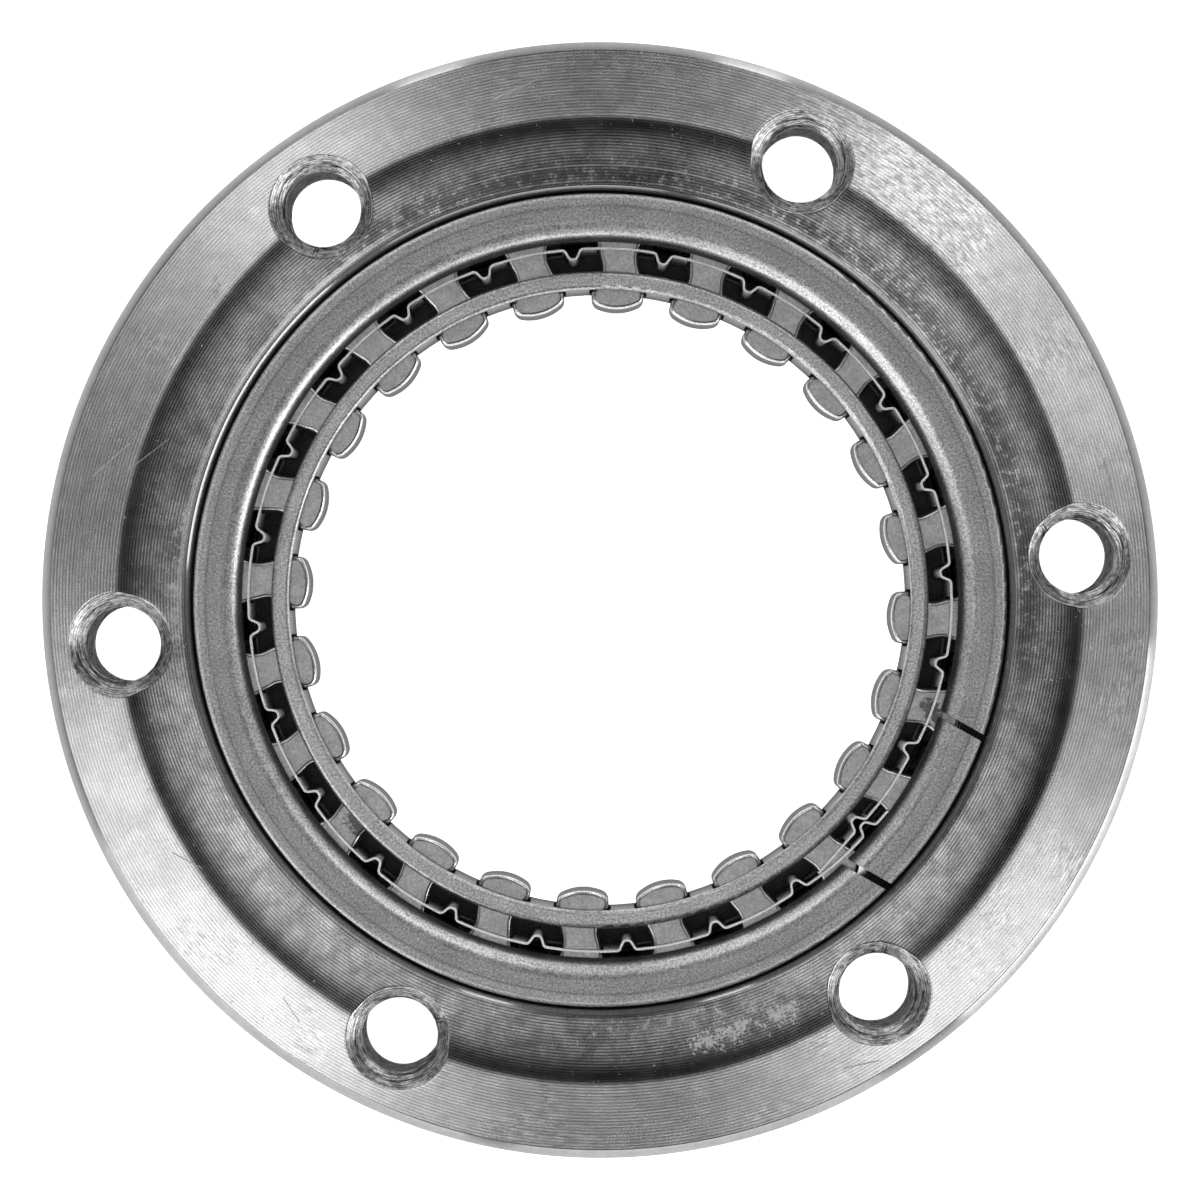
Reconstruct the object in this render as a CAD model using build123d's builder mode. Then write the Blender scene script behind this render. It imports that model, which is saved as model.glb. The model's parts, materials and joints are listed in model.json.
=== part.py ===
from build123d import *
import math
import os

os.makedirs("parts", exist_ok=True)

# One-way clutch with 24 sprags between two cages, millimetres.
# Z is the clutch axis. z = 0 is the back face of the ring, +Z points out of the
# flanged front. Angles are counter-clockwise from +X, seen from the front.

# ---------------------------------------------------------------- outer race
ring_d = 100.0            # outside diameter
ring_t = 15.0             # thickness, back face to front face
rim_chamfer = 0.8         # both outer edges
raceway_d = 68.4          # ground bore that the sprag heads run on
raceway_lead = 0.35       # chamfer at the raceway's front edge
bore_chamfer = 0.5        # chamfer at the raceway's back edge
counterbore_d = 73.4      # pocket for the cage flange
counterbore_z = 13.75     # floor of that pocket
mouth_chamfer = 0.5       # chamfer at the pocket's mouth
relief_depth = 0.24       # the inner zone of the front face lies this much lower
relief_flat_r = 41.4      # the relief is flat out to this radius
relief_bend_r = 42.9      # hollow blend out to here
relief_edge_r = 43.7      # rounded edge out to here, then the flat front face
bolt_circle_d = 86.0
bolt_count = 6
bolt_start = 5.3          # angle of the first tapped hole
tap_r = 3.4               # minor radius of the M8 thread
sink_r = 4.7              # countersink radius at the face, 90 degree cone

# ---------------------------------------------------------------- outer cage
sheet = 0.8               # sheet thickness of both cages
outer_wall_ri = 32.2      # inner radius of the outer cage's wall
outer_bend = 1.9          # front bend, on the side that shows
flange_r = 36.44          # edge of the flange
flange_top = 14.6
outer_back = 1.2          # back face of the outer cage
back_rim_ri = 29.2        # inner edge of the rim that is turned in at the back
back_bend = 1.2           # back bend, on its outer side
outer_win_lo, outer_win_hi = 3.3, 12.35
outer_win_cw, outer_win_ccw = -3.5, 2.6   # window sides, measured along the tangent
outer_win_corner = 0.45
slit_dir = -29.6          # both slits run in this direction
slit_offsets = (6.17, -9.56)              # distance of each slit from the axis
slit_widths = (0.62, 0.70)

# ---------------------------------------------------------------- inner cage
inner_wall_ri = 27.9
inner_bend = 0.4          # front bend, pressed sharp on the side that shows
inner_rim_r = 29.5        # edge of the small rim
inner_top = 13.4
inner_back = 2.3
inner_win_lo, inner_win_hi = 3.4, 12.35
inner_win_cw, inner_win_ccw = -2.75, 2.43
inner_win_corner = 0.45

# ---------------------------------------------------------------- sprags
sprag_count = 24
sprag_pitch = 360.0 / sprag_count
sprag_start = 12.0        # angle of sprag_01
sprag_back, sprag_front = 3.7, 12.1
sprag_edge = 0.4          # rounding of both ends
pivot_w, pivot_u = 30.42, -0.9            # centre of the head's cam arc: radial, tangential
head_gap = 0.03           # running clearance between head arc and raceway
head_r = raceway_d / 2 - head_gap - math.hypot(pivot_w, pivot_u)
foot_w, foot_u, foot_r = 30.66, 0.10, 4.48  # centre and radius of the foot's cam arc

# ---------------------------------------------------------------- ribbon spring
strip_t = 0.2
strip_back, strip_front = 2.7, 13.1
strip_win_lo, strip_win_hi = 3.55, 12.25
strip_win_half = 3.2      # half width of the window around each sprag
tongue_tip = 1.95         # the tongue stops this far from the sprag's centre line
tongue_lo, tongue_hi = 5.6, 10.2
strip_top_r, strip_dip_r = 31.55, 30.66
dip_shoulder, dip_floor = 1.36, 0.56      # half widths of a dip, degrees
dip_fillet = 0.4


def radial(angle, z=0.0, r=0.0):
    """Plane across the axis, its x radial and its y tangential, at this angle."""
    a = math.radians(angle)
    return Plane(origin=(r * math.cos(a), r * math.sin(a), z),
                 x_dir=(math.cos(a), math.sin(a), 0), z_dir=(0, 0, 1))


def facing(angle, r, z=0.0):
    """Plane that faces outwards at radius r, its x tangential and its y along the axis."""
    a = math.radians(angle)
    return Plane(origin=(r * math.cos(a), r * math.sin(a), z),
                 x_dir=(-math.sin(a), math.cos(a), 0),
                 z_dir=(math.cos(a), math.sin(a), 0))


sprag_angles = [sprag_start + sprag_pitch * i for i in range(sprag_count)]

# ================================================================ outer race
ro = ring_d / 2
rr = raceway_d / 2
rc = counterbore_d / 2
z_relief = ring_t - relief_depth
# the blend from the relieved zone up to the front face: a hollow arc, then a round one
blend_slope = 2 * relief_depth / (relief_edge_r - relief_flat_r)
blend_rise = (relief_bend_r - relief_flat_r) * blend_slope / 2

with BuildPart() as outer_race:
    with BuildSketch(Plane.XZ) as race_section:
        with BuildLine():
            Polyline(
                (relief_flat_r, z_relief),
                (rc + mouth_chamfer, z_relief),
                (rc, z_relief - mouth_chamfer),
                (rc, counterbore_z),
                (rr + raceway_lead, counterbore_z),
                (rr, counterbore_z - raceway_lead),
                (rr, bore_chamfer),
                (rr + bore_chamfer, 0),
                (ro - rim_chamfer, 0),
                (ro, rim_chamfer),
                (ro, ring_t - rim_chamfer),
                (ro - rim_chamfer, ring_t),
                (relief_edge_r, ring_t),
            )
            round_edge = TangentArc((relief_edge_r, ring_t),
                                    (relief_bend_r, z_relief + blend_rise),
                                    tangent=(-1, 0))
            Line(round_edge @ 1, (relief_bend_r - 0.05, z_relief + blend_rise - 0.05 * blend_slope))
            TangentArc((relief_flat_r, z_relief),
                       (relief_bend_r - 0.05, z_relief + blend_rise - 0.05 * blend_slope),
                       tangent=(1, 0))
        make_face()
    revolve(axis=Axis.Z)
    # six tapped holes, countersunk from both faces
    with Locations((0, 0, ring_t)):
        with PolarLocations(bolt_circle_d / 2, bolt_count, start_angle=bolt_start):
            CounterSinkHole(tap_r, sink_r, counter_sink_angle=90)
    with Locations(Location((0, 0, 0), (180, 0, 0))):
        with PolarLocations(bolt_circle_d / 2, bolt_count, start_angle=-bolt_start):
            CounterSinkHole(tap_r, sink_r, counter_sink_angle=90)
outer_race.part.label = "outer_race"
export_step(outer_race.part, "parts/outer_race.step")

# ================================================================ outer cage
wall_ro = outer_wall_ri + sheet
bend_x = outer_wall_ri + outer_bend
bend_z = flange_top - outer_bend
back_x = wall_ro - back_bend
with BuildPart() as outer_cage:
    with BuildSketch(Plane.XZ) as cage_section:
        with BuildLine():
            Line((outer_wall_ri, outer_back + back_bend), (outer_wall_ri, bend_z))
            RadiusArc((outer_wall_ri, bend_z), (bend_x, flange_top), outer_bend)
            Line((bend_x, flange_top), (flange_r, flange_top))
            Line((flange_r, flange_top), (flange_r, flange_top - sheet))
            Line((flange_r, flange_top - sheet), (bend_x, flange_top - sheet))
            RadiusArc((bend_x, flange_top - sheet), (wall_ro, bend_z), -(outer_bend - sheet))
            Line((wall_ro, bend_z), (wall_ro, outer_back + back_bend))
            RadiusArc((wall_ro, outer_back + back_bend), (back_x, outer_back), back_bend)
            Line((back_x, outer_back), (back_rim_ri, outer_back))
            Line((back_rim_ri, outer_back), (back_rim_ri, outer_back + sheet))
            Line((back_rim_ri, outer_back + sheet), (back_x, outer_back + sheet))
            RadiusArc((back_x, outer_back + sheet), (outer_wall_ri, outer_back + back_bend),
                      -(back_bend - sheet))
        make_face()
        fillet(cage_section.vertices().sort_by(Axis.X)[-2:].sort_by(Axis.Y)[-1:], 0.28)
        chamfer(cage_section.vertices().sort_by(Axis.X)[-2:].sort_by(Axis.Y)[:1], 0.12)
        fillet(cage_section.vertices().group_by(Axis.X)[0], 0.15)
    revolve(axis=Axis.Z)
    # windows for the sprag heads
    with BuildSketch(*[facing(a, outer_wall_ri - 1.5, (outer_win_lo + outer_win_hi) / 2)
                       for a in sprag_angles]):
        with Locations(((outer_win_cw + outer_win_ccw) / 2, 0)):
            RectangleRounded(outer_win_ccw - outer_win_cw, outer_win_hi - outer_win_lo,
                             outer_win_corner)
    extrude(amount=sheet + 3.0, mode=Mode.SUBTRACT)
    # two parallel slits through flange and bend, open into the windows below them
    for offset_mm, width in zip(slit_offsets, slit_widths):
        across = math.radians(slit_dir + 90)
        slit_plane = Plane(origin=(offset_mm * math.cos(across), offset_mm * math.sin(across),
                                   outer_win_hi - 0.6),
                           x_dir=(math.cos(math.radians(slit_dir)),
                                  math.sin(math.radians(slit_dir)), 0),
                           z_dir=(0, 0, 1))
        with BuildSketch(slit_plane):
            with Locations((33.5, 0)):
                Rectangle(12.0, width)
        extrude(amount=4.0, mode=Mode.SUBTRACT)
outer_cage.part.label = "outer_cage"
export_step(outer_cage.part, "parts/outer_cage.step")

# ================================================================ inner cage
in_ro = inner_wall_ri + sheet
in_bx = inner_wall_ri + inner_bend
in_bz = inner_top - inner_bend
with BuildPart() as inner_cage:
    with BuildSketch(Plane.XZ) as rim_section:
        with BuildLine():
            Line((inner_wall_ri, inner_back), (inner_wall_ri, in_bz))
            RadiusArc((inner_wall_ri, in_bz), (in_bx, inner_top), inner_bend)
            Line((in_bx, inner_top), (inner_rim_r, inner_top))
            Line((inner_rim_r, inner_top), (inner_rim_r, inner_top - sheet))
            Line((inner_rim_r, inner_top - sheet), (in_ro, inner_top - sheet))
            Line((in_ro, inner_top - sheet), (in_ro, inner_back))
            Line((in_ro, inner_back), (inner_wall_ri, inner_back))
        make_face()
        fillet(rim_section.vertices().sort_by(Axis.X)[-2:].sort_by(Axis.Y)[-1:], 0.42)
        fillet(rim_section.vertices().sort_by(Axis.X)[-2:].sort_by(Axis.Y)[:1], 0.12)
        fillet(rim_section.vertices().group_by(Axis.Y)[0], 0.15)
    revolve(axis=Axis.Z)
    # windows for the sprag feet
    with BuildSketch(*[facing(a, inner_wall_ri - 1.5, (inner_win_lo + inner_win_hi) / 2)
                       for a in sprag_angles]):
        with Locations(((inner_win_cw + inner_win_ccw) / 2, 0)):
            RectangleRounded(inner_win_ccw - inner_win_cw, inner_win_hi - inner_win_lo,
                             inner_win_corner)
    extrude(amount=sheet + 3.0, mode=Mode.SUBTRACT)
inner_cage.part.label = "inner_cage"
export_step(inner_cage.part, "parts/inner_cage.step")

# ================================================================ ribbon spring
# Corners of the strip's centre line, in degrees and radius, from the inner end
# once round to the outer end, which laps over the first one and a half pitches.
# Each straight run over a sprag is bowed with the circle by a wide corner.
corners = []


def dip(centre, before, floor, after):
    """One U-shaped dip: shoulder, two floor corners, shoulder."""
    corners.extend([
        (centre - dip_shoulder, before, dip_fillet),
        (centre - dip_floor, floor, dip_fillet),
        (centre + dip_floor, floor, dip_fillet),
        (centre + dip_shoulder, after, dip_fillet),
    ])


def bow(a0, r0, a1, r1):
    """The wide corner between two shoulders, its legs tangent to the circle."""
    half = math.radians(a1 - a0) / 2
    corners.append(((a0 + a1) / 2, (r0 + r1) / 2 / math.cos(half), 0.86 * (r0 + r1) / 2))


lap = []                                   # (dip centre, before, floor, after)
lap.append((319.1, 30.95, 30.05, 30.93))   # under the outer end
lap.append((334.4, 31.10, 30.31, 31.28))
lap.append((349.45, 31.49, 30.66, 31.56))
for k in range(21):
    lap.append((364.5 + 15 * k, strip_top_r, strip_dip_r, strip_top_r))
lap.append((679.45, 31.80, 30.97, 31.93))  # the outer end's own dip
lap[-2] = (664.55, strip_top_r, strip_dip_r, 31.64)

corners.append((308.6, 31.42, 0))
for n, (centre, before, floor, after) in enumerate(lap):
    if n:
        last = lap[n - 1]
        bow(last[0] + dip_shoulder, last[3], centre - dip_shoulder, before)
    dip(centre, before, floor, after)
corners.append((683.75, 32.03, 0))

line = [(r * math.cos(math.radians(a)), r * math.sin(math.radians(a))) for a, r, _ in corners]
bends = [f for _, _, f in corners]


def side(d):
    """Edges of the strip's side at distance d to the left of the centre line:
    a list of lines (two points) and tangent arcs (three points)."""
    out = []
    start = None
    for i, p in enumerate(line):
        if i:
            ax, ay = p[0] - line[i - 1][0], p[1] - line[i - 1][1]
            al = math.hypot(ax, ay)
            ax, ay = ax / al, ay / al
        if i < len(line) - 1:
            bx, by = line[i + 1][0] - p[0], line[i + 1][1] - p[1]
            bl = math.hypot(bx, by)
            bx, by = bx / bl, by / bl
        if i == 0:
            start = (p[0] - by * d, p[1] + bx * d)
            continue
        if i == len(line) - 1:
            out.append((start, (p[0] - ay * d, p[1] + ax * d)))
            continue
        turn = math.atan2(ax * by - ay * bx, ax * bx + ay * by)
        leg = bends[i] * math.tan(abs(turn) / 2)
        left = 1.0 if turn > 0 else -1.0
        t1 = (p[0] - ax * leg, p[1] - ay * leg)
        t2 = (p[0] + bx * leg, p[1] + by * leg)
        c = (t1[0] - ay * bends[i] * left, t1[1] + ax * bends[i] * left)
        r = bends[i] - d * left
        mx, my = p[0] - c[0], p[1] - c[1]
        ml = math.hypot(mx, my)
        q1 = (t1[0] - ay * d, t1[1] + ax * d)
        q2 = (t2[0] - by * d, t2[1] + bx * d)
        qm = (c[0] + mx / ml * r, c[1] + my / ml * r)
        out.append((start, q1))
        out.append((q1, qm, q2))
        start = q2
    return out


outer_side = side(-strip_t / 2)
inner_side = side(strip_t / 2)
with BuildPart() as ribbon_spring:
    with BuildSketch(Plane.XY.offset(strip_back)):
        with BuildLine():
            for run in (outer_side, inner_side):
                for points in run:
                    if len(points) == 2:
                        Line(*points)
                    else:
                        ThreePointArc(*points)
            Line(outer_side[0][0], inner_side[0][0])
            Line(outer_side[-1][-1], inner_side[-1][-1])
        make_face()
    extrude(amount=strip_front - strip_back)
    # a window for each sprag, with a tongue left standing on its counter-clockwise side
    with BuildSketch(*[facing(a, 29.2) for a in sprag_angles]):
        with BuildLine():
            Polyline(
                (-strip_win_half, strip_win_lo),
                (strip_win_half, strip_win_lo),
                (strip_win_half, tongue_lo),
                (tongue_tip, tongue_lo),
                (tongue_tip, tongue_hi),
                (strip_win_half, tongue_hi),
                (strip_win_half, strip_win_hi),
                (-strip_win_half, strip_win_hi),
                close=True,
            )
        make_face()
    extrude(amount=3.6, mode=Mode.SUBTRACT)
ribbon_spring.part.label = "ribbon_spring"
export_step(ribbon_spring.part, "parts/ribbon_spring.step")

# ================================================================ sprags
# Outline in the sprag's own plane: x is radial, y tangential (counter-clockwise
# positive). The head's arc is part of a circle about the pivot, so the head keeps
# its clearance to the raceway at every tilt. Four straight flanks join head and
# foot, and every corner between them is rounded.


def on_head(u):
    return (pivot_w + math.sqrt(head_r ** 2 - (u - pivot_u) ** 2), u)


def on_foot(u):
    return (foot_w - math.sqrt(foot_r ** 2 - (u - foot_u) ** 2), u)


head_left, head_right = on_head(2.15), on_head(-2.60)
foot_left, foot_right = on_foot(2.50), on_foot(-2.62)
left_waist, right_waist = (29.655, 1.206), (31.07, -1.649)
rounding = {head_left: 0.6, left_waist: 1.9, foot_left: 0.92,
            foot_right: 0.85, right_waist: 2.3, head_right: 0.55}

for i, angle in enumerate(sprag_angles):
    with BuildPart() as sprag:
        with BuildSketch(radial(angle, sprag_back)) as outline:
            with BuildLine():
                ThreePointArc(head_right, on_head(-0.2), head_left)
                Line(head_left, left_waist)
                Line(left_waist, foot_left)
                ThreePointArc(foot_left, on_foot(0.0), foot_right)
                Line(foot_right, right_waist)
                Line(right_waist, head_right)
            make_face()
            for corner, radius in rounding.items():
                fillet(outline.vertices().sort_by_distance(corner)[0], radius)
        extrude(amount=sprag_front - sprag_back)
        fillet(sprag.faces().filter_by(Axis.Z).edges(), sprag_edge)
    sprag.part.label = f"sprag_{i + 1:02d}"
    export_step(sprag.part, f"parts/sprag_{i + 1:02d}.step")
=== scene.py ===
import json
import math

import bmesh
import bpy
from mathutils import Matrix, Vector, noise

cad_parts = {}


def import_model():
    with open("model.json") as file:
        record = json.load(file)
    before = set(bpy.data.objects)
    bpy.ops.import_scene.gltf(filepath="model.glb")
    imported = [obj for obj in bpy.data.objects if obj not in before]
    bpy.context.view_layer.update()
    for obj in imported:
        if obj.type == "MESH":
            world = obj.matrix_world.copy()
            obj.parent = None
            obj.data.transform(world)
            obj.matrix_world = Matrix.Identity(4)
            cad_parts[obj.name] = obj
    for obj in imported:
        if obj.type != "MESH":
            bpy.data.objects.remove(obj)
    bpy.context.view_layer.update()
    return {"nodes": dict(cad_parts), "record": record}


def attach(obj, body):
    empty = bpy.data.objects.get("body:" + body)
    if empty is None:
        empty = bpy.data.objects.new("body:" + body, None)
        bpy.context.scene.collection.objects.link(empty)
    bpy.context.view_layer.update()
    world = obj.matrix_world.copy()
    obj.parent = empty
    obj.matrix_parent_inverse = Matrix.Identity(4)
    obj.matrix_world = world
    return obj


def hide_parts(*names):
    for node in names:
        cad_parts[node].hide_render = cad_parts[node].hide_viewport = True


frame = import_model()

# One-way clutch with 24 sprags. Metres, Z is the clutch axis, z = 0 the ring's back face.
MM = 0.001
TAU = 2 * math.pi

# ------------------------------------------------------------------ camera
cam_data = bpy.data.cameras.new("camera")
cam = bpy.data.objects.new("camera", cam_data)
bpy.context.scene.collection.objects.link(cam)
cam.location = (0.0, 0.0, 0.545)
cam.rotation_euler = (0.0, 0.0, 0.0)
cam_data.sensor_width = 36.0
cam_data.lens = 36.0 * 530.0 / 107.33
cam_data.clip_start, cam_data.clip_end = 0.05, 20.0
bpy.context.scene.camera = cam


# ------------------------------------------------------------------ node helpers
class Tree:
    """Builds a material's nodes. A value is a number or an output socket."""

    def __init__(self, name):
        self.mat = bpy.data.materials.new(name)
        self.mat.use_nodes = True
        self.nt = self.mat.node_tree
        self.nt.nodes.clear()
        self.out = self.nt.nodes.new("ShaderNodeOutputMaterial")
        self.coord = self.nt.nodes.new("ShaderNodeTexCoord")

    def put(self, socket, value):
        if isinstance(value, bpy.types.NodeSocket):
            self.nt.links.new(value, socket)
        else:
            socket.default_value = value

    def math(self, op, *values, clamp=False):
        n = self.nt.nodes.new("ShaderNodeMath")
        n.operation = op
        n.use_clamp = clamp
        for s, v in zip(n.inputs, values):
            self.put(s, v)
        return n.outputs[0]

    def add(self, a, b):
        return self.math("ADD", a, b)

    def mul(self, a, b):
        return self.math("MULTIPLY", a, b)

    def vmath(self, op, *values):
        n = self.nt.nodes.new("ShaderNodeVectorMath")
        n.operation = op
        for s, v in zip(n.inputs, values):
            self.put(s, v)
        return n.outputs["Value"] if op in ("LENGTH", "DOT_PRODUCT") else n.outputs[0]

    def vscale(self, a, k):
        n = self.nt.nodes.new("ShaderNodeVectorMath")
        n.operation = "SCALE"
        self.put(n.inputs[0], a)
        self.put(n.inputs["Scale"], k)
        return n.outputs[0]

    def split(self, v):
        n = self.nt.nodes.new("ShaderNodeSeparateXYZ")
        self.put(n.inputs[0], v)
        return n.outputs[0], n.outputs[1], n.outputs[2]

    def join(self, x, y, z):
        n = self.nt.nodes.new("ShaderNodeCombineXYZ")
        for s, v in zip(n.inputs, (x, y, z)):
            self.put(s, v)
        return n.outputs[0]

    def span(self, v, a, b, lo=0.0, hi=1.0, smooth=True):
        """v from a to b maps to lo to hi, and stays there outside."""
        n = self.nt.nodes.new("ShaderNodeMapRange")
        n.interpolation_type = "SMOOTHSTEP" if smooth else "LINEAR"
        for s, x in zip(n.inputs, (v, a, b, lo, hi)):
            self.put(s, x)
        return n.outputs[0]

    def mix(self, f, a, b):
        """a where f is 0, b where it is 1."""
        return self.add(self.mul(a, self.math("SUBTRACT", 1.0, f)), self.mul(b, f))

    def noise(self, v, scale, detail=3.0, rough=0.55, distortion=0.0):
        n = self.nt.nodes.new("ShaderNodeTexNoise")
        self.put(n.inputs["Vector"], v)
        n.inputs["Scale"].default_value = scale
        n.inputs["Detail"].default_value = detail
        n.inputs["Roughness"].default_value = rough
        n.inputs["Distortion"].default_value = distortion
        return n.outputs[0]

    def voronoi(self, v, scale, feature="F1", randomness=1.0):
        n = self.nt.nodes.new("ShaderNodeTexVoronoi")
        n.feature = feature
        self.put(n.inputs["Vector"], v)
        n.inputs["Scale"].default_value = scale
        n.inputs["Randomness"].default_value = randomness
        return n.outputs["Distance"]

    def curve(self, v, points):
        """Smooth curve through (v, value) points, by a float curve scaled to the span."""
        lo, hi = points[0][0], points[-1][0]
        top = max(p[1] for p in points)
        n = self.nt.nodes.new("ShaderNodeFloatCurve")
        c = n.mapping.curves[0]
        pts = [((x - lo) / (hi - lo), y / top) for x, y in points]
        c.points[0].location = pts[0]
        c.points[1].location = pts[-1]
        for p in pts[1:-1]:
            c.points.new(*p)
        n.mapping.update()
        self.put(n.inputs["Value"], self.span(v, lo, hi, smooth=False))
        return self.mul(n.outputs[0], top)

    def grey(self, v, warm=0.0):
        """A colour from one value, a little warm or cold."""
        n = self.nt.nodes.new("ShaderNodeCombineColor")
        self.put(n.inputs[0], self.mul(v, 1.0 + warm))
        self.put(n.inputs[1], v)
        self.put(n.inputs[2], self.mul(v, 1.0 - warm))
        return n.outputs[0]

    def principled(self, **values):
        n = self.nt.nodes.new("ShaderNodeBsdfPrincipled")
        for k, v in values.items():
            self.put(n.inputs[k.replace("_", " ")], v)
        self.nt.links.new(n.outputs[0], self.out.inputs["Surface"])
        return n

    def bump(self, height, strength=1.0, distance=MM, normal=None):
        n = self.nt.nodes.new("ShaderNodeBump")
        n.inputs["Strength"].default_value = strength
        n.inputs["Distance"].default_value = distance
        self.put(n.inputs["Height"], height)
        if normal is not None:
            self.put(n.inputs["Normal"], normal)
        return n.outputs[0]

    def around_axis(self):
        """Millimetres: the point, its radius, its height and its unit radial direction."""
        p = self.vscale(self.coord.outputs["Object"], 1000.0)
        x, y, z = self.split(p)
        flat = self.join(x, y, 0.0)
        r = self.vmath("LENGTH", flat)
        return p, r, z, self.vmath("NORMALIZE", flat)

    def window(self, out, degrees, half, soft):
        """1 within half of this azimuth, fading to 0 over soft more degrees."""
        a = math.radians(degrees)
        d = self.vmath("DOT_PRODUCT", out, (math.cos(a), math.sin(a), 0.0))
        return self.span(d, math.cos(math.radians(half + soft)), math.cos(math.radians(half)))

    def segment(self, p, a, b):
        """Distance in the XY plane from the line between a and b, millimetres."""
        ax, ay = a
        bx, by = b[0] - ax, b[1] - ay
        x, y, _ = self.split(p)
        px, py = self.math("SUBTRACT", x, ax), self.math("SUBTRACT", y, ay)
        h = self.add(self.mul(px, bx / (bx * bx + by * by)), self.mul(py, by / (bx * bx + by * by)))
        h = self.math("ADD", h, 0.0, clamp=True)
        dx = self.math("SUBTRACT", px, self.mul(h, bx))
        dy = self.math("SUBTRACT", py, self.mul(h, by))
        return self.vmath("LENGTH", self.join(dx, dy, 0.0))

    def tangent(self):
        n = self.nt.nodes.new("ShaderNodeTangent")
        n.direction_type = "RADIAL"
        n.axis = "Z"
        return n.outputs[0]


def turned_steel():
    """Ring: fine concentric turning marks, a duller relieved zone, stains, scratches."""
    t = Tree("turned_steel")
    p, r, z, out = t.around_axis()
    ox, oy, _ = t.split(out)
    nx, ny, nz = t.split(t.coord.outputs["Normal"])
    up = t.math("ABSOLUTE", nz)
    face = t.span(up, 0.80, 0.97)
    front = t.mul(face, t.span(nz, 0.0, 0.5))
    g = t.add(r, t.mul(z, 0.93))                       # runs across the marks on face and rim

    def along(arc, cross):
        """A point for noise that is drawn out along the cut: arc and cross per millimetre."""
        return t.join(t.mul(ox, 43.0 * arc), t.mul(oy, 43.0 * arc), t.mul(g, cross))

    # turning marks with uneven depth
    wobble = t.noise(along(0.07, 0.7), 1.0, 2.0)
    phase = t.add(t.mul(g, TAU / 0.28), t.mul(wobble, 2.2))
    wave = t.math("SINE", phase)
    depth = t.span(t.noise(along(0.05, 2.0), 1.0, 2.0), 0.3, 0.7, 0.6, 1.0)
    lines = t.mul(wave, depth)
    # long thin streaks and short dashes along the cut
    streak = t.noise(along(0.2, 9.0), 1.0, 4.0, 0.65)
    dash = t.noise(along(1.1, 4.2), 1.0, 3.0, 0.7)
    cloud = t.noise(p, 0.16, 4.0, 0.6)
    mottle = t.noise(p, 0.55, 5.0, 0.68)
    fine = t.noise(p, 1.9, 4.0, 0.7)
    speck = t.noise(p, 7.0, 3.0, 0.7)
    # zones of the front face
    inner = t.mul(front, t.span(r, 44.2, 41.6))
    # painted reflection: a nearly black band on the relief's slope, made uneven by the clouds; the same mask
    # strengthens the turning marks there
    painted_dark_band = t.curve(r, [(36.0, 0.0), (38.4, 0.0), (39.8, 0.16), (40.9, 0.42), (41.6, 0.72), (42.15, 0.94), (42.6, 1.0),
                       (43.0, 0.92), (43.3, 0.48), (43.6, 0.12), (44.2, 0.0), (52.0, 0.0)])
    painted_dark_band = t.mul(painted_dark_band, t.mul(front, t.span(t.add(cloud, t.mul(fine, 0.3)), 0.3, 0.9, 1.0, 0.80)))
    bevel = t.mul(t.span(r, 48.9, 49.25), t.span(t.math("ABSOLUTE", t.math("SUBTRACT", z, 7.5)), 6.60, 6.75))
    colour = t.mix(face, t.mix(bevel, t.mix(t.span(r, 49.3, 49.6), 0.60, 0.25), 0.39), 0.66)
    shade = t.span(t.add(t.mul(mottle, 0.6), t.mul(cloud, 0.4)), 0.34, 0.66, 0.88, 0.40)
    clouded = t.span(t.add(t.mul(mottle, 0.5), t.mul(cloud, 0.5)), 0.36, 0.64, 1.08, 0.86)
    colour = t.mul(colour, t.mix(inner, t.mix(face, 1.0, clouded), shade))
    # the painted dark reflection on the relief's slope
    colour = t.mul(colour, t.mix(painted_dark_band, 1.0, 0.045))
    colour = t.mul(colour, t.add(1.0, t.mul(lines, t.add(t.mix(inner, 0.26, 0.54), t.mul(painted_dark_band, 0.36)))))
    colour = t.mul(colour, t.span(streak, 0.25, 0.75, 0.90, 1.06))
    colour = t.mul(colour, t.span(speck, 0.3, 0.8, 1.06, 0.86))
    # places where the marks have torn: strong short dashes
    torn = t.mul(t.span(t.noise(t.vmath("ADD", p, (17.0, 5.0, 0.0)), 0.13, 3.0, 0.6), 0.52, 0.66), t.mul(face, 0.65))
    torn = t.add(torn, t.mul(t.window(out, 56.0, 7.0, 10.0), front))
    torn = t.math("MINIMUM", torn, 1.0)
    tear = t.span(dash, 0.36, 0.66, 1.30, 0.62)
    colour = t.mul(colour, t.mix(t.mul(torn, 0.85), t.span(dash, 0.3, 0.7, 1.04, 0.95), tear))
    # small dark pits
    pit = t.span(t.noise(p, 2.6, 5.0, 0.8), 0.64, 0.70)
    colour = t.mul(colour, t.mix(pit, 1.0, 0.62))

    # dried stains, dull and light: a patch near the mouth, blots along it
    patch = t.segment(p, (8.6, -39.7), (16.8, -36.6))
    broken = t.add(t.mul(t.noise(p, 0.9, 3.0, 0.6), 0.45), t.mul(t.noise(p, 3.4, 3.0, 0.75), 0.70))
    patch = t.span(t.add(t.mul(t.span(patch, 2.3, 0.0, smooth=False), 0.21), broken), 0.745, 0.775)
    lip = t.mul(t.span(r, 40.6, 38.4), t.span(r, 37.3, 37.8))
    blots = t.mul(lip, t.add(t.window(out, 205.0, 34.0, 10.0), t.window(out, 292.0, 22.0, 8.0)))
    blots = t.add(t.mul(blots, 0.30), t.noise(t.vmath("ADD", p, (3.0, 9.0, 1.0)), 1.15, 5.0, 0.74))
    pale = t.mul(front, t.math("MAXIMUM", patch, t.mul(t.span(blots, 0.82, 0.90), 0.75)))
    dark = t.mul(front, t.mul(t.span(blots, 0.60, 0.52), t.mul(lip, t.window(out, 60.0, 60.0, 20.0))))
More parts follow.
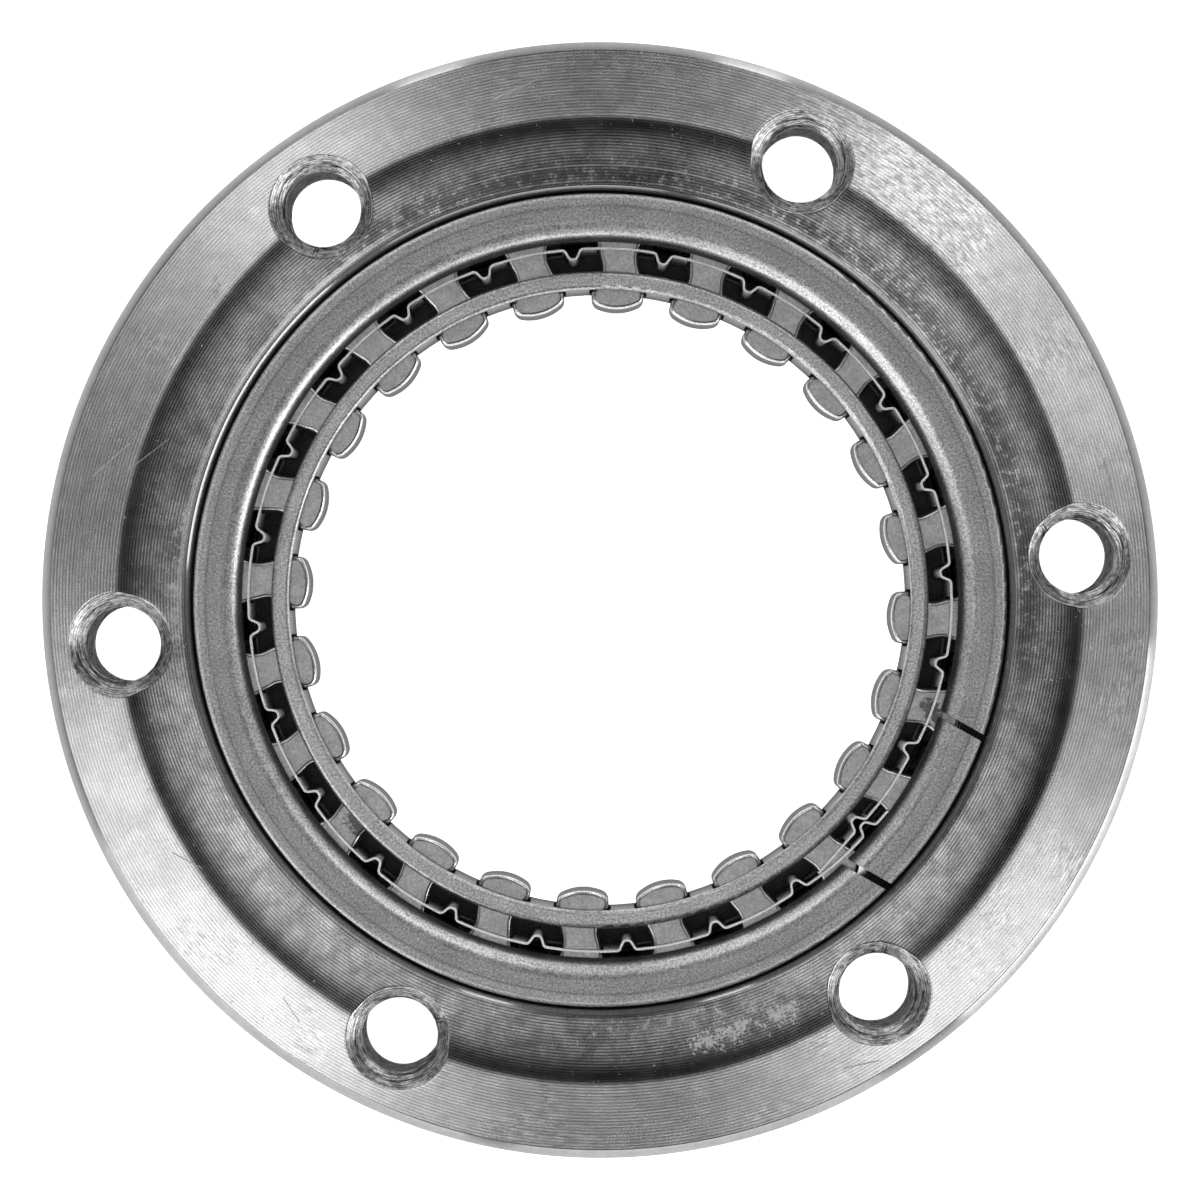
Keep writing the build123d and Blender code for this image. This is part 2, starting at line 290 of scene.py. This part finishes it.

    # wear on the edges: bright, polished by handling; the mouth's edge also gets a brighter arc near 150 degrees
    rim = t.add(t.mul(t.span(t.math("ABSOLUTE", t.math("SUBTRACT", r, 49.10)), 0.10, 0.02), 0.8),
                t.span(t.math("ABSOLUTE", t.math("SUBTRACT", r, 37.22)), 0.14, 0.02))
    rim = t.mul(rim, t.span(t.add(mottle, t.mul(fine, 0.4)), 0.66, 0.80))
    lip_bright_arc = t.mul(t.span(t.add(r, t.mul(t.math("SUBTRACT", mottle, 0.5), 0.9)), 38.0, 37.75), t.window(out, 150.0, 20.0, 16.0))
    rim = t.math("MAXIMUM", t.mul(rim, 0.7), lip_bright_arc)

    # fine scratches
    ring = t.math("ABSOLUTE", t.math("SUBTRACT", r, t.add(38.86, t.mul(cloud, 0.12))))
    scratch = t.mul(t.span(ring, 0.065, 0.02), t.mul(t.window(out, 79.0, 27.0, 3.0), t.span(mottle, 0.38, 0.50, 0.35, 1.0)))
    for a, b in (((-42.2, 11.6), (-38.6, 14.4)), ((-45.4, 11.0), (-42.0, 14.0)), ((31.3, 23.8), (32.6, 24.6)),
                 ((44.6, -11.2), (46.8, -9.4)), ((-28.3, -35.6), (-26.9, -37.7)), ((21.8, -41.9), (24.9, -41.2)),
                 ((-9.4, 44.8), (-6.1, 46.3)), ((46.4, 7.6), (45.1, 12.7)), ((-38.2, -22.6), (-35.6, -24.0)),
                 ((12.6, 41.3), (16.8, 42.3))):
        d = t.segment(t.vmath("ADD", p, t.vscale(t.join(t.math("SUBTRACT", fine, 0.5), t.math("SUBTRACT", mottle, 0.5), 0.0), 0.12)), a, b)
        scratch = t.math("MAXIMUM", scratch, t.mul(t.span(d, 0.060, 0.015), 0.8))
    scratch = t.mul(scratch, front)

    colour = t.mix(dark, colour, t.mul(colour, 0.42))
    colour = t.mix(t.mul(rim, 0.7), colour, 0.78)
    colour = t.mix(pale, colour, t.span(speck, 0.3, 0.7, 0.95, 0.62))
    colour = t.mix(scratch, colour, 0.85)
    # the pocket's mouth is darker
    mouth = t.mul(t.span(r, 37.32, 37.2), t.span(z, 14.2, 14.3))
    colour = t.mul(colour, t.mix(mouth, 1.0, 0.45))
    # painted shadow in the pocket under the cage flange, nearly black; it is also rougher there
    pocket_shadow = t.mul(t.span(z, 14.27, 14.12), t.mul(t.span(z, 13.3, 13.45), t.span(r, 37.4, 37.2)))
    colour = t.mul(colour, t.mix(pocket_shadow, 1.0, 0.07))
    rough = t.add(t.mix(inner, 0.175, 0.225), t.mul(t.math("SUBTRACT", streak, 0.5), 0.06))
    rough = t.add(rough, t.add(t.mul(pit, 0.08), t.mul(t.mul(torn, t.math("SUBTRACT", dash, 0.5)), 0.12)))
    rough = t.mix(t.math("MAXIMUM", pale, scratch), rough, 0.62)
    rough = t.mix(pocket_shadow, rough, 0.6)
    height = t.add(t.mul(lines, 0.0006), t.mul(streak, 0.0004))
    height = t.add(height, t.add(t.mul(fine, 0.00012), t.mul(t.mul(torn, dash), 0.0008)))
    height = t.add(height, t.add(t.mul(pit, -0.008), t.mul(scratch, -0.006)))
    height = t.mul(height, t.mix(face, 0.4, 1.0))
    t.principled(
        Base_Color=t.grey(colour, 0.004), Metallic=t.math("SUBTRACT", 1.0, t.mul(pale, 0.75)), Roughness=rough,
        Anisotropic=0.97, Anisotropic_Rotation=0.25, Tangent=t.tangent(),
        Normal=t.bump(height, 1.0, MM))
    return t.mat


def tapped_steel():
    """Holes: marks that run round each hole, torn thread crests, chips of light and dark."""
    t = Tree("tapped_steel")
    p, r, z, out = t.around_axis()
    x, y, _ = t.split(p)
    a = t.math("SUBTRACT", t.math("ARCTAN2", y, x), math.radians(5.3))
    a = t.math("SUBTRACT", a, t.mul(t.math("ROUND", t.mul(a, 3 / math.pi)), math.pi / 3))
    hx = t.math("SUBTRACT", t.mul(r, t.math("COSINE", a)), 43.0)
    hy = t.mul(r, t.math("SINE", a))
    rho = t.vmath("LENGTH", t.join(hx, hy, 0.0))
    way = t.vmath("NORMALIZE", t.join(hx, hy, 0.0))
    wx, wy, _ = t.split(way)
    rings = t.noise(t.join(t.mul(wx, 3.5), t.mul(wy, 3.5), t.mul(t.add(rho, t.mul(z, 0.8)), 6.5)), 1.0, 4.0, 0.7)
    chip = t.noise(p, 2.2, 5.0, 0.75)
    fine = t.noise(p, 9.0, 3.0, 0.7)
    deep = t.span(rho, 3.3, 4.1)
    turns = t.math("SINE", t.add(t.mul(t.add(rho, t.mul(z, 0.8)), TAU / 0.34), t.mul(t.noise(t.join(wx, wy, rho), 1.0, 2.0), 7.0)))
    colour = t.mul(0.62, t.span(rings, 0.36, 0.64, 0.26, 1.55))
    colour = t.mul(colour, t.span(chip, 0.36, 0.64, 0.50, 1.30))
    colour = t.mul(colour, t.span(fine, 0.3, 0.8, 1.08, 0.80))
    colour = t.mul(colour, t.mul(t.mix(deep, 1.15, 1.0), t.add(1.0, t.mul(turns, 0.28))))
    edge = t.mul(t.span(rho, 4.45, 4.68), t.span(chip, 0.42, 0.60))
    colour = t.mix(edge, colour, 0.80)
    # painted shade in the middle of each hole, both mouths left bright; the middle is also less metallic
    unshaded_mouths = t.math("MAXIMUM", t.span(z, 10.5, 13.8), t.span(z, 3.4, 1.2))
    colour = t.mul(colour, t.mix(unshaded_mouths, 0.10, 1.0))
    rough = t.add(0.34, t.mul(t.math("SUBTRACT", chip, 0.5), 0.30))
    height = t.add(t.mul(rings, 0.024), t.add(t.mul(chip, 0.022), t.mul(fine, 0.002)))
    t.principled(Base_Color=t.grey(colour, 0.004), Metallic=t.mix(unshaded_mouths, 0.30, 1.0), Roughness=rough,
                 Specular_IOR_Level=0.1, Normal=t.bump(height, 1.0, MM))
    return t.mat


def sheet_steel(name, value, rough0, seed, painted_light_by_radius=None):
    """Cages: drawn and tumbled sheet, a fine speckle with faint draw lines."""
    t = Tree(name)
    p, r, z, out = t.around_axis()
    nx, ny, nz = t.split(t.coord.outputs["Normal"])
    q = t.vmath("ADD", p, (seed, seed * 2.0, seed * 3.0))
    grain = t.noise(q, 5.0, 4.0, 0.72)
    fine = t.noise(q, 14.0, 2.0, 0.6)
    cloud = t.noise(q, 0.30, 3.0, 0.6)
    ox, oy, _ = t.split(out)
    draw = t.noise(t.join(t.mul(ox, 8.0), t.mul(oy, 8.0), t.mul(t.add(r, z), 6.0)), 1.0, 3.0, 0.6)
    pit = t.span(t.noise(q, 8.0, 4.0, 0.8), 0.58, 0.70)
    colour = t.mul(value, t.span(grain, 0.28, 0.72, 0.44, 1.52))
    colour = t.mul(colour, t.span(cloud, 0.3, 0.7, 0.92, 1.08))
    colour = t.mul(colour, t.span(draw, 0.3, 0.7, 0.90, 1.08))
    colour = t.mul(colour, t.mix(pit, 1.0, 0.60))
    glint = t.span(t.noise(t.vmath("ADD", q, (7.0, 1.0, 2.0)), 6.5, 2.0, 0.7), 0.60, 0.72)
    colour = t.mul(colour, t.mix(glint, 1.0, 1.5))
    # painted highlight on the bend and painted shade down the wall, by radius, on the flange side
    if painted_light_by_radius:
        flat = t.span(z, 11.0, 11.6)
        colour = t.mul(colour, t.mix(flat, 1.0, t.curve(t.add(r, t.mul(t.math("SUBTRACT", cloud, 0.5), 0.10)), painted_light_by_radius)))
    colour = t.math("MINIMUM", colour, 1.0)
    # painted shade: darker deeper in the clutch and on steep walls; faces turned back get a flat 0.9 instead
    back = t.span(nz, -0.30, -0.70)
    deep = t.mul(t.span(z, 2.5, 12.6, 0.10, 1.0), t.span(nz, 0.10, 0.60, 0.45, 1.0))
    colour = t.mul(colour, t.mix(back, deep, 0.9))
    steep = t.span(t.math("ABSOLUTE", nz), 0.50, 0.15)
    rough = t.add(rough0, t.mul(t.math("SUBTRACT", grain, 0.5), 0.25))
    height = t.add(t.mul(grain, 0.013), t.mul(fine, 0.004))
    height = t.add(height, t.mul(pit, -0.004))
    t.principled(Base_Color=t.grey(colour, 0.004), Metallic=t.mix(steep, 1.0, 0.40), Roughness=t.mix(steep, rough, 0.55),
                 Specular_IOR_Level=0.1, Normal=t.bump(height, 1.0, MM))
    return t.mat


def sprag_steel():
    """Sprags: tumbled, speckled end faces; colour by slope with a painted highlight on the rounded edges and painted
    shade on the flanks; painted shade lower down.
    """
    t = Tree("sprag_steel")
    p, r, z, out = t.around_axis()
    nx, ny, nz = t.split(t.coord.outputs["Normal"])
    grain = t.noise(p, 5.0, 4.0, 0.74)
    fine = t.noise(p, 13.0, 3.0, 0.6)
    cloud = t.noise(p, 0.8, 3.0, 0.6)
    mark = t.span(t.noise(p, 1.3, 5.0, 0.75), 0.60, 0.70)
    up = t.math("ABSOLUTE", nz)
    back = t.span(nz, -0.05, -0.30)
    flat = t.span(up, 0.95, 0.995)
    steep = t.span(up, 0.45, 0.15)
    # colour by slope: painted shade on the flank, a painted highlight on the rounded edge, then the end face
    edge = t.curve(up, [(0.0, 0.20), (0.18, 0.24), (0.36, 0.90), (0.50, 1.55), (0.86, 1.60), (0.94, 0.55), (0.985, 0.62), (0.998, 1.0), (1.0, 1.0)])
    colour = t.mul(t.mul(edge, 0.59), t.span(grain, 0.25, 0.75, 0.66, 1.26))
    colour = t.mul(colour, t.span(cloud, 0.3, 0.7, 0.88, 1.06))
    colour = t.mul(colour, t.mix(mark, 1.0, 0.66))
    # rust-dark blotches on two of the end faces
    for where in ((29.6, -9.6), (-22.2, -19.7)):
        blot = t.span(t.segment(p, where, (where[0] + 0.6, where[1] - 0.9)), 1.5, 0.1, smooth=False)
        blot = t.span(t.add(t.mul(blot, 0.34), t.noise(p, 2.4, 5.0, 0.75)), 0.66, 0.74)
        colour = t.mul(colour, t.mix(blot, 1.0, 0.28))
    # painted shade: darker lower down; faces turned back are left without it
    colour = t.mul(colour, t.mix(back, t.span(z, 8.0, 12.0, 0.30, 1.0), 1.0))
    rough = t.add(t.mix(flat, 0.24, 0.36), t.mul(t.math("SUBTRACT", fine, 0.5), 0.22))
    height = t.add(t.mul(grain, 0.008), t.mul(fine, 0.003))
    t.principled(Base_Color=t.grey(colour, 0.003), Metallic=t.mix(steep, 1.0, 0.35), Roughness=t.mix(steep, rough, 0.5),
                 Specular_IOR_Level=0.1, Normal=t.bump(height, 1.0, MM))
    return t.mat


def spring_steel():
    t = Tree("spring_steel")
    p, r, z, out = t.around_axis()
    x, y, _ = t.split(p)
    back = t.span(t.split(t.coord.outputs["Normal"])[2], -0.3, -0.7)
    roll = t.noise(t.join(x, y, t.mul(z, 14.0)), 1.0, 3.0, 0.6)
    fine = t.noise(p, 9.0, 2.0, 0.6)
    colour = t.mul(0.70, t.span(roll, 0.3, 0.7, 0.88, 1.08))
    # painted shade: darker lower down; faces turned back get a flat 0.8 instead
    colour = t.mul(colour, t.mix(back, t.span(z, 8.0, 12.95, 0.10, 1.0), 0.8))
    t.principled(Base_Color=t.grey(colour), Metallic=1.0,
                 Roughness=t.add(0.22, t.mul(fine, 0.12)),
                 Normal=t.bump(t.add(t.mul(roll, 0.002), t.mul(fine, 0.002)), 1.0, MM))
    return t.mat


MATS = {
    "turned_steel": turned_steel(),
    # the outer cage's list: painted shade down the wall, a painted highlight on the bend, a brighter outer flange, by
    # radius
    "cage_steel": sheet_steel("cage_steel", 0.50, 0.36, 3.0,
                              [(31.0, 0.3), (32.25, 0.34), (32.65, 0.72), (33.05, 1.58), (33.45, 1.45), (33.8, 1.08), (34.3, 0.96), (34.9, 0.92), (35.2, 0.88), (35.30, 0.62), (35.42, 0.90),
                               (35.7, 1.08), (36.02, 1.10), (36.10, 1.80), (36.45, 1.95), (37.0, 1.9)]),
    "inner_cage_steel": sheet_steel("inner_cage_steel", 0.62, 0.34, 11.0),
    "spring_steel": spring_steel(),
    "sprag_steel": sprag_steel(),
}
TAPPED = tapped_steel()
SLOT_OF = {s["node"]: s["material_slot"] for s in frame["record"]["subparts"]}
for node, obj in frame["nodes"].items():
    obj.data.materials.clear()
    obj.data.materials.append(MATS[SLOT_OF[node]])

# ------------------------------------------------------------------ outer race, with real threads
RING_R, RING_T = 50.0, 15.0
RELIEF_R0, RELIEF_R1, RELIEF_R2, RELIEF = 41.4, 42.9, 43.7, 0.24
HOLE_R, HOLE_RIM, PITCH, ROOT_R = 3.4, 4.7, 1.25, 4.0
BOLT_R, BOLT_START = 43.0, 5.3
BLOCK_R = [37.7, 38.4, 39.1, 39.8, 40.4, 40.9, 41.4, 41.8, 42.2, 42.6, 42.9, 43.15, 43.4, 43.7,
           44.1, 44.6, 45.2, 45.8, 46.4, 47.0, 47.6, 48.1, 48.5]
BLOCK_A = 8                     # a block is 16 one-degree steps wide


def face_z(r):
    """Height of the front face at radius r."""
    slope = 2 * RELIEF / (RELIEF_R2 - RELIEF_R0)
    if r <= RELIEF_R0:
        return RING_T - RELIEF
    if r <= RELIEF_R1:
        return RING_T - RELIEF + slope * (r - RELIEF_R0) ** 2 / (2 * (RELIEF_R1 - RELIEF_R0))
    if r <= RELIEF_R2:
        return RING_T - slope * (RELIEF_R2 - r) ** 2 / (2 * (RELIEF_R2 - RELIEF_R1))
    return RING_T


def eased(points, ease, steps=3):
    """A section line with small round corners. points: (r, z) or (r, z, radius)."""
    out = []
    for i, p in enumerate(points):
        e = p[2] if len(p) > 2 else ease
        if i in (0, len(points) - 1) or e <= 0:
            out.append((p[0], p[1]))
            continue
        a, b = points[i - 1], points[i + 1]
        da = Vector((a[0] - p[0], a[1] - p[1]))
        db = Vector((b[0] - p[0], b[1] - p[1]))
        t = min(e, da.length * 0.45, db.length * 0.45)
        pa = Vector((p[0], p[1])) + da.normalized() * t
        pb = Vector((p[0], p[1])) + db.normalized() * t
        c = Vector((p[0], p[1]))
        for k in range(steps + 1):
            u = k / steps
            q = pa * (1 - u) ** 2 + c * (2 * u * (1 - u)) + pb * u ** 2
            out.append((q.x, q.y))
    return out


def ring_mesh():
    bm = bmesh.new()
    grid_a = [math.radians(BOLT_START + k) for k in range(360)]

    def lathe(section, blocked=None):
        """Quads round the axis along an open section line; blocked(i, k) leaves cells out."""
        rows = [[bm.verts.new((r * math.cos(a) * MM, r * math.sin(a) * MM, z * MM)) for a in grid_a]
                for r, z in section]
        for i in range(len(rows) - 1):
            for k in range(360):
                if blocked and blocked(i, k):
                    continue
                m = (k + 1) % 360
                bm.faces.new((rows[i][k], rows[i + 1][k], rows[i + 1][m], rows[i][m]))

    def in_block(k):
        return (k + BLOCK_A) % 60 < 2 * BLOCK_A

    # front face: from the mouth chamfer out to the rim chamfer
    front_r = [37.2] + BLOCK_R + [48.9, 49.2 - 0.12]
    first, last = 1, len(BLOCK_R)
    lathe([(r, face_z(r)) for r in front_r], lambda i, k: first <= i < last and in_block(k))
    # rim, back chamfers
    e = 0.12
    lathe(eased([(49.2 - 0.12, 15.0), (49.2, 15.0), (50.0, 14.2), (50.0, 0.8), (49.2, 0.0), (49.2 - 0.12, 0.0)], e))
    # back face
    back_r = [49.2 - 0.12, 48.9] + BLOCK_R[::-1] + [36.6, 34.7 + 0.12]
    lathe([(r, 0.0) for r in back_r], lambda i, k: 2 <= i < len(BLOCK_R) + 1 and in_block(k))
    # raceway, pocket, mouth
    lathe(eased([(34.7 + 0.12, 0.0), (34.7, 0.0), (34.2, 0.5), (34.2, 13.4, 0.06), (34.55, 13.75, 0.06), (36.7, 13.75, 0.10),
                 (36.7, 14.26, 0.06), (37.2 - 0.10, 14.66, 0.0), (37.2, 14.76)], e))

    # the outline of a block, counter-clockwise in (angle step, radius)
    outline = []
    n = len(BLOCK_R)
    for i in range(n - 1):
        outline.append((BLOCK_A, BLOCK_R[i]))
    for k in range(BLOCK_A, -BLOCK_A, -1):
        outline.append((k, BLOCK_R[-1]))
    for i in range(n - 1, 0, -1):
        outline.append((-BLOCK_A, BLOCK_R[i]))
    for k in range(-BLOCK_A, BLOCK_A):
        outline.append((k, BLOCK_R[0]))
    count = len(outline)

    for h in range(6):
        centre_a = math.radians(BOLT_START + 60 * h)
        ca, sa = math.cos(centre_a), math.sin(centre_a)

        def world(x, y):
            """From the hole's own plane (x outward, y along the tangent) to the ring's."""
            X, Y = BOLT_R + x, y
            return X * ca - Y * sa, X * sa + Y * ca, math.hypot(X, Y)

        edge = []
        for k, r in outline:
            a = math.radians(k)
            edge.append((r * math.cos(a) - BOLT_R, r * math.sin(a)))
        angles = [math.atan2(y, x) for x, y in edge]

        def rim_rho(a, top):
            rho = HOLE_RIM
            if top:
                for _ in range(6):
                    _, _, r = world(rho * math.cos(a), rho * math.sin(a))
                    rho = HOLE_RIM - (RING_T - face_z(r))
            return rho

        for top in (True, False):
            rows = []
            steps = [0.0, 0.18, 0.36, 0.52, 0.66, 0.78, 0.88, 0.95, 1.0]
            for s in steps:
                row = []
                for j, (x, y) in enumerate(edge):
                    a = angles[j]
                    rho = rim_rho(a, top) + 0.09
                    d = math.hypot(x, y)
                    q = d + (rho - d) * s
                    qx, qy = q * math.cos(a), q * math.sin(a)
                    X, Y, r = world(qx, qy)
                    row.append(bm.verts.new((X * MM, Y * MM, (face_z(r) if top else 0.0) * MM)))
                rows.append(row)
            # rounded rim
            for drho, dz in ((0.035, -0.012), (-0.02, -0.045), (-0.07, -0.10)):
                row = []
                for j in range(count):
                    a = angles[j]
                    rr = rim_rho(a, top)
                    wob = 0.02 * noise.noise(Vector((math.cos(a) * 3 + 7 * h, math.sin(a) * 3, 5.0 if top else 9.0)))
                    rho = rr + drho + wob
                    X, Y, r = world(rho * math.cos(a), rho * math.sin(a))
                    _, _, r0 = world(rr * math.cos(a), rr * math.sin(a))
                    zf = face_z(r0) + dz if top else -dz
                    row.append(bm.verts.new((X * MM, Y * MM, zf * MM)))
                rows.append(row)
            for i in range(len(rows) - 1):
                for j in range(count):
                    m = (j + 1) % count
                    q = (rows[i][j], rows[i + 1][j], rows[i + 1][m], rows[i][m])
                    bm.faces.new(q if top else q[::-1]).material_index = 1 if i >= len(steps) else 0
            if top:
                top_row = rows[-1]
            else:
                low_row = rows[-1]

        # the thread: rows climb with the helix, cut by both cones
        prof = [(0.02, 0.0), (0.38, 0.0), (0.47, 0.12), (0.70, 0.50), (0.78, 0.60), (0.87, 0.60), (0.95, 0.50), (1.18, 0.12)]
        turns = int(RING_T / PITCH) + 3
        cols = []
        seq = []
        for tno in range(-1, turns):
            for s, d in prof:
                seq.append((tno * PITCH + s, d))
        for j in range(count + 1):
            jj = j % count
            a = angles[jj]
            u = (a - angles[0]) % TAU if j < count else TAU
            z_hi = (top_row[jj].co.z) / MM
            z_lo = (low_row[jj].co.z) / MM
            rho_hi = rim_rho(a, True) - 0.07
            rho_lo = HOLE_RIM - 0.07
            col = []
            for zz, d in seq:
                z = zz + PITCH * u / TAU
                zc = min(max(z, z_lo), z_hi)
                cone = max(rho_hi - (z_hi - zc), rho_lo - (zc - z_lo))
                rho = max(HOLE_R + d, cone)
                if z_lo + 0.02 < zc < z_hi - 0.02:
                    g = noise.noise(Vector((rho * math.cos(a) * 2.2 + 31 * h, rho * math.sin(a) * 2.2, zc * 4.0)))
                    f = noise.noise(Vector((math.cos(a) * 9 + 31 * h, math.sin(a) * 9, zc * 7.0)))
                    torn = 1.0 if rho > HOLE_R + 0.25 or cone > HOLE_R + 0.05 else 0.5
                    rho += torn * (0.035 * g + 0.025 * f)
                    rho = max(rho, HOLE_R - 0.02)
                X, Y, r = world(rho * math.cos(a), rho * math.sin(a))
                col.append((X, Y, zc, z <= z_lo, z >= z_hi))
            cols.append(col)
        verts = []
        for j in range(count):
            row = []
            for X, Y, zc, low, high in cols[j]:
                if low:
                    row.append(low_row[j])
                elif high:
                    row.append(top_row[j])
                else:
                    row.append(bm.verts.new((X * MM, Y * MM, zc * MM)))
            verts.append(row)
        m = len(prof)
        total = len(seq)
        for j in range(count):
            nj = (j + 1) % count
            shift = m if j == count - 1 else 0
            for i in range(total - 1):
                i2 = i + shift
                if i2 + 1 >= total:
                    a_, b_ = verts[nj][total - 1], verts[nj][total - 1]
                else:
                    a_, b_ = verts[nj][i2], verts[nj][i2 + 1]
                q = []
                for v in (verts[j][i], a_, b_, verts[j][i + 1]):
                    if v not in q:
                        q.append(v)
                if len(q) >= 3 and not (all(v in low_row for v in q) or all(v in top_row for v in q)):
                    try:
                        bm.faces.new(q[::-1]).material_index = 1
                    except ValueError:
                        pass
            if shift:
                # rows of the next column below the first shifted one
                for i in range(shift):
                    q = []
                    for v in (verts[j][0], verts[nj][i], verts[nj][i + 1]):
                        if v not in q:
                            q.append(v)
                    if len(q) >= 3 and not all(v in low_row for v in q):
                        bm.faces.new(q[::-1]).material_index = 1
    bmesh.ops.remove_doubles(bm, verts=bm.verts, dist=1e-6)
    bmesh.ops.recalc_face_normals(bm, faces=bm.faces)
    mesh = bpy.data.meshes.new("outer_race_threaded")
    bm.to_mesh(mesh)
    open_edges = sum(1 for ed in bm.edges if len(ed.link_faces) != 2)
    print("ring mesh", len(mesh.vertices), "vertices", len(mesh.polygons), "faces", open_edges, "open edges")
    bm.free()
    for p in mesh.polygons:
        p.use_smooth = True
    mesh.set_sharp_from_angle(angle=math.radians(50))
    return mesh


ring = bpy.data.objects.new("outer_race_threaded", ring_mesh())
bpy.context.scene.collection.objects.link(ring)
ring.data.materials.append(MATS["turned_steel"])
ring.data.materials.append(TAPPED)
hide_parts("outer_race")
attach(ring, "outer_race")

# ------------------------------------------------------------------ floor
floor_mat = bpy.data.materials.new("floor")
floor_mat.use_nodes = True
fb = floor_mat.node_tree.nodes["Principled BSDF"]
fb.inputs["Base Color"].default_value = (0.9, 0.9, 0.9, 1)
fb.inputs["Roughness"].default_value = 0.8
fb.inputs["Emission Color"].default_value = (1, 1, 1, 1)
fb.inputs["Emission Strength"].default_value = 1.0
mesh = bpy.data.meshes.new("floor")
mesh.from_pydata([(-3, -3, -0.0001), (3, -3, -0.0001), (3, 3, -0.0001), (-3, 3, -0.0001)], [], [(0, 1, 2, 3)])
floor = bpy.data.objects.new("floor", mesh)
floor.data.materials.append(floor_mat)
bpy.context.scene.collection.objects.link(floor)


# ------------------------------------------------------------------ light
def softbox(name, azimuth, polar, distance, sx, sy, glow, spin=0.0):
    """A soft light at this azimuth and this far from overhead, degrees, facing the part."""
    data = bpy.data.lights.new(name, "AREA")
    data.shape = "RECTANGLE"
    data.size, data.size_y = sx, sy
    data.energy = glow * 4.0 * sx * sy
    obj = bpy.data.objects.new(name, data)
    a, q = math.radians(azimuth), math.radians(polar)
    d = Vector((math.sin(q) * math.cos(a), math.sin(q) * math.sin(a), math.cos(q)))
    obj.location = d * distance
    z = d
    x = Vector((math.cos(a), math.sin(a), 0))
    x = (x - z * x.dot(z)).normalized()
    y = z.cross(x)
    m = Matrix((x, y, z)).transposed() @ Matrix.Rotation(math.radians(spin), 3, "Z")
    obj.rotation_euler = m.to_euler()
    bpy.context.scene.collection.objects.link(obj)
    return obj


# small ones close to overhead draw the sheen sectors of the turned face
softbox("top_a", 227, 8.5, 1.2, 0.26, 0.130, 1.65)
softbox("top_a2", 198, 8.5, 1.2, 0.22, 0.060, 0.9)
softbox("top_b", 316, 8.5, 1.2, 0.25, 0.126, 1.60)
softbox("top_c", 51, 8.5, 1.2, 0.25, 0.070, 1.25)
softbox("top_c2", 24, 8.5, 1.2, 0.25, 0.080, 0.62)
softbox("top_d", 126, 8.5, 1.2, 0.25, 0.080, 1.2)
# wide dim ones to the sides keep the left and the right from going black
softbox("side_a", 172, 24, 1.3, 0.4, 0.40, 0.15)
softbox("side_b", 350, 24, 1.3, 0.4, 0.40, 0.12)
# larger ones half way down light the bends and the sheet parts
softbox("mid_a", 226, 46, 1.3, 0.6, 0.7, 1.50)
softbox("mid_b", 60, 46, 1.3, 0.5, 0.6, 1.35)
softbox("mid_g", 30, 42, 1.3, 0.5, 0.5, 0.30)
softbox("mid_c", 120, 46, 1.3, 0.5, 0.5, 1.30)
softbox("mid_d", 305, 46, 1.3, 0.5, 0.5, 0.15)
softbox("mid_e", 190, 38, 1.3, 0.5, 0.6, 0.33)
# and low ones for the chamfers
softbox("low_a", 333, 84, 1.6, 0.5, 1.3, 4.2)
softbox("low_b", 231, 84, 1.6, 0.5, 1.5, 1.85)
softbox("low_c", 74, 84, 1.6, 0.5, 0.2, 3.2)
softbox("low_d", 108, 84, 1.6, 0.5, 0.2, 3.0)
softbox("low_e", 281, 84, 1.6, 0.5, 1.15, 1.5)

world = bpy.data.worlds.new("world")
bpy.context.scene.world = world
world.use_nodes = True
wt = world.node_tree
wt.nodes.clear()
wo = wt.nodes.new("ShaderNodeOutputWorld")
bg = wt.nodes.new("ShaderNodeBackground")
tc = wt.nodes.new("ShaderNodeTexCoord")
sx = wt.nodes.new("ShaderNodeSeparateXYZ")
ramp = wt.nodes.new("ShaderNodeValToRGB")
wt.links.new(tc.outputs["Generated"], sx.inputs[0])
wt.links.new(sx.outputs[2], ramp.inputs[0])
ramp.color_ramp.interpolation = "B_SPLINE"
els = ramp.color_ramp.elements
els[0].position, els[0].color = 0.0, (0.20, 0.20, 0.20, 1)
els[1].position, els[1].color = 1.0, (0.05, 0.05, 0.05, 1)
for pos, v in ((0.04, 0.40), (0.30, 0.40), (0.6, 0.13), (0.86, 0.06), (0.91, 0.03), (0.965, 0.02), (0.985, 0.04)):
    e = els.new(pos)
    e.color = (v, v, v, 1)
wt.links.new(ramp.outputs[0], bg.inputs[0])
bg.inputs[1].default_value = 1.0
wt.links.new(bg.outputs[0], wo.inputs[0])

scene = bpy.context.scene
scene.view_settings.view_transform = "Standard"
scene.view_settings.look = "None"
scene.view_settings.exposure = 0.0
scene.view_settings.gamma = 1.0
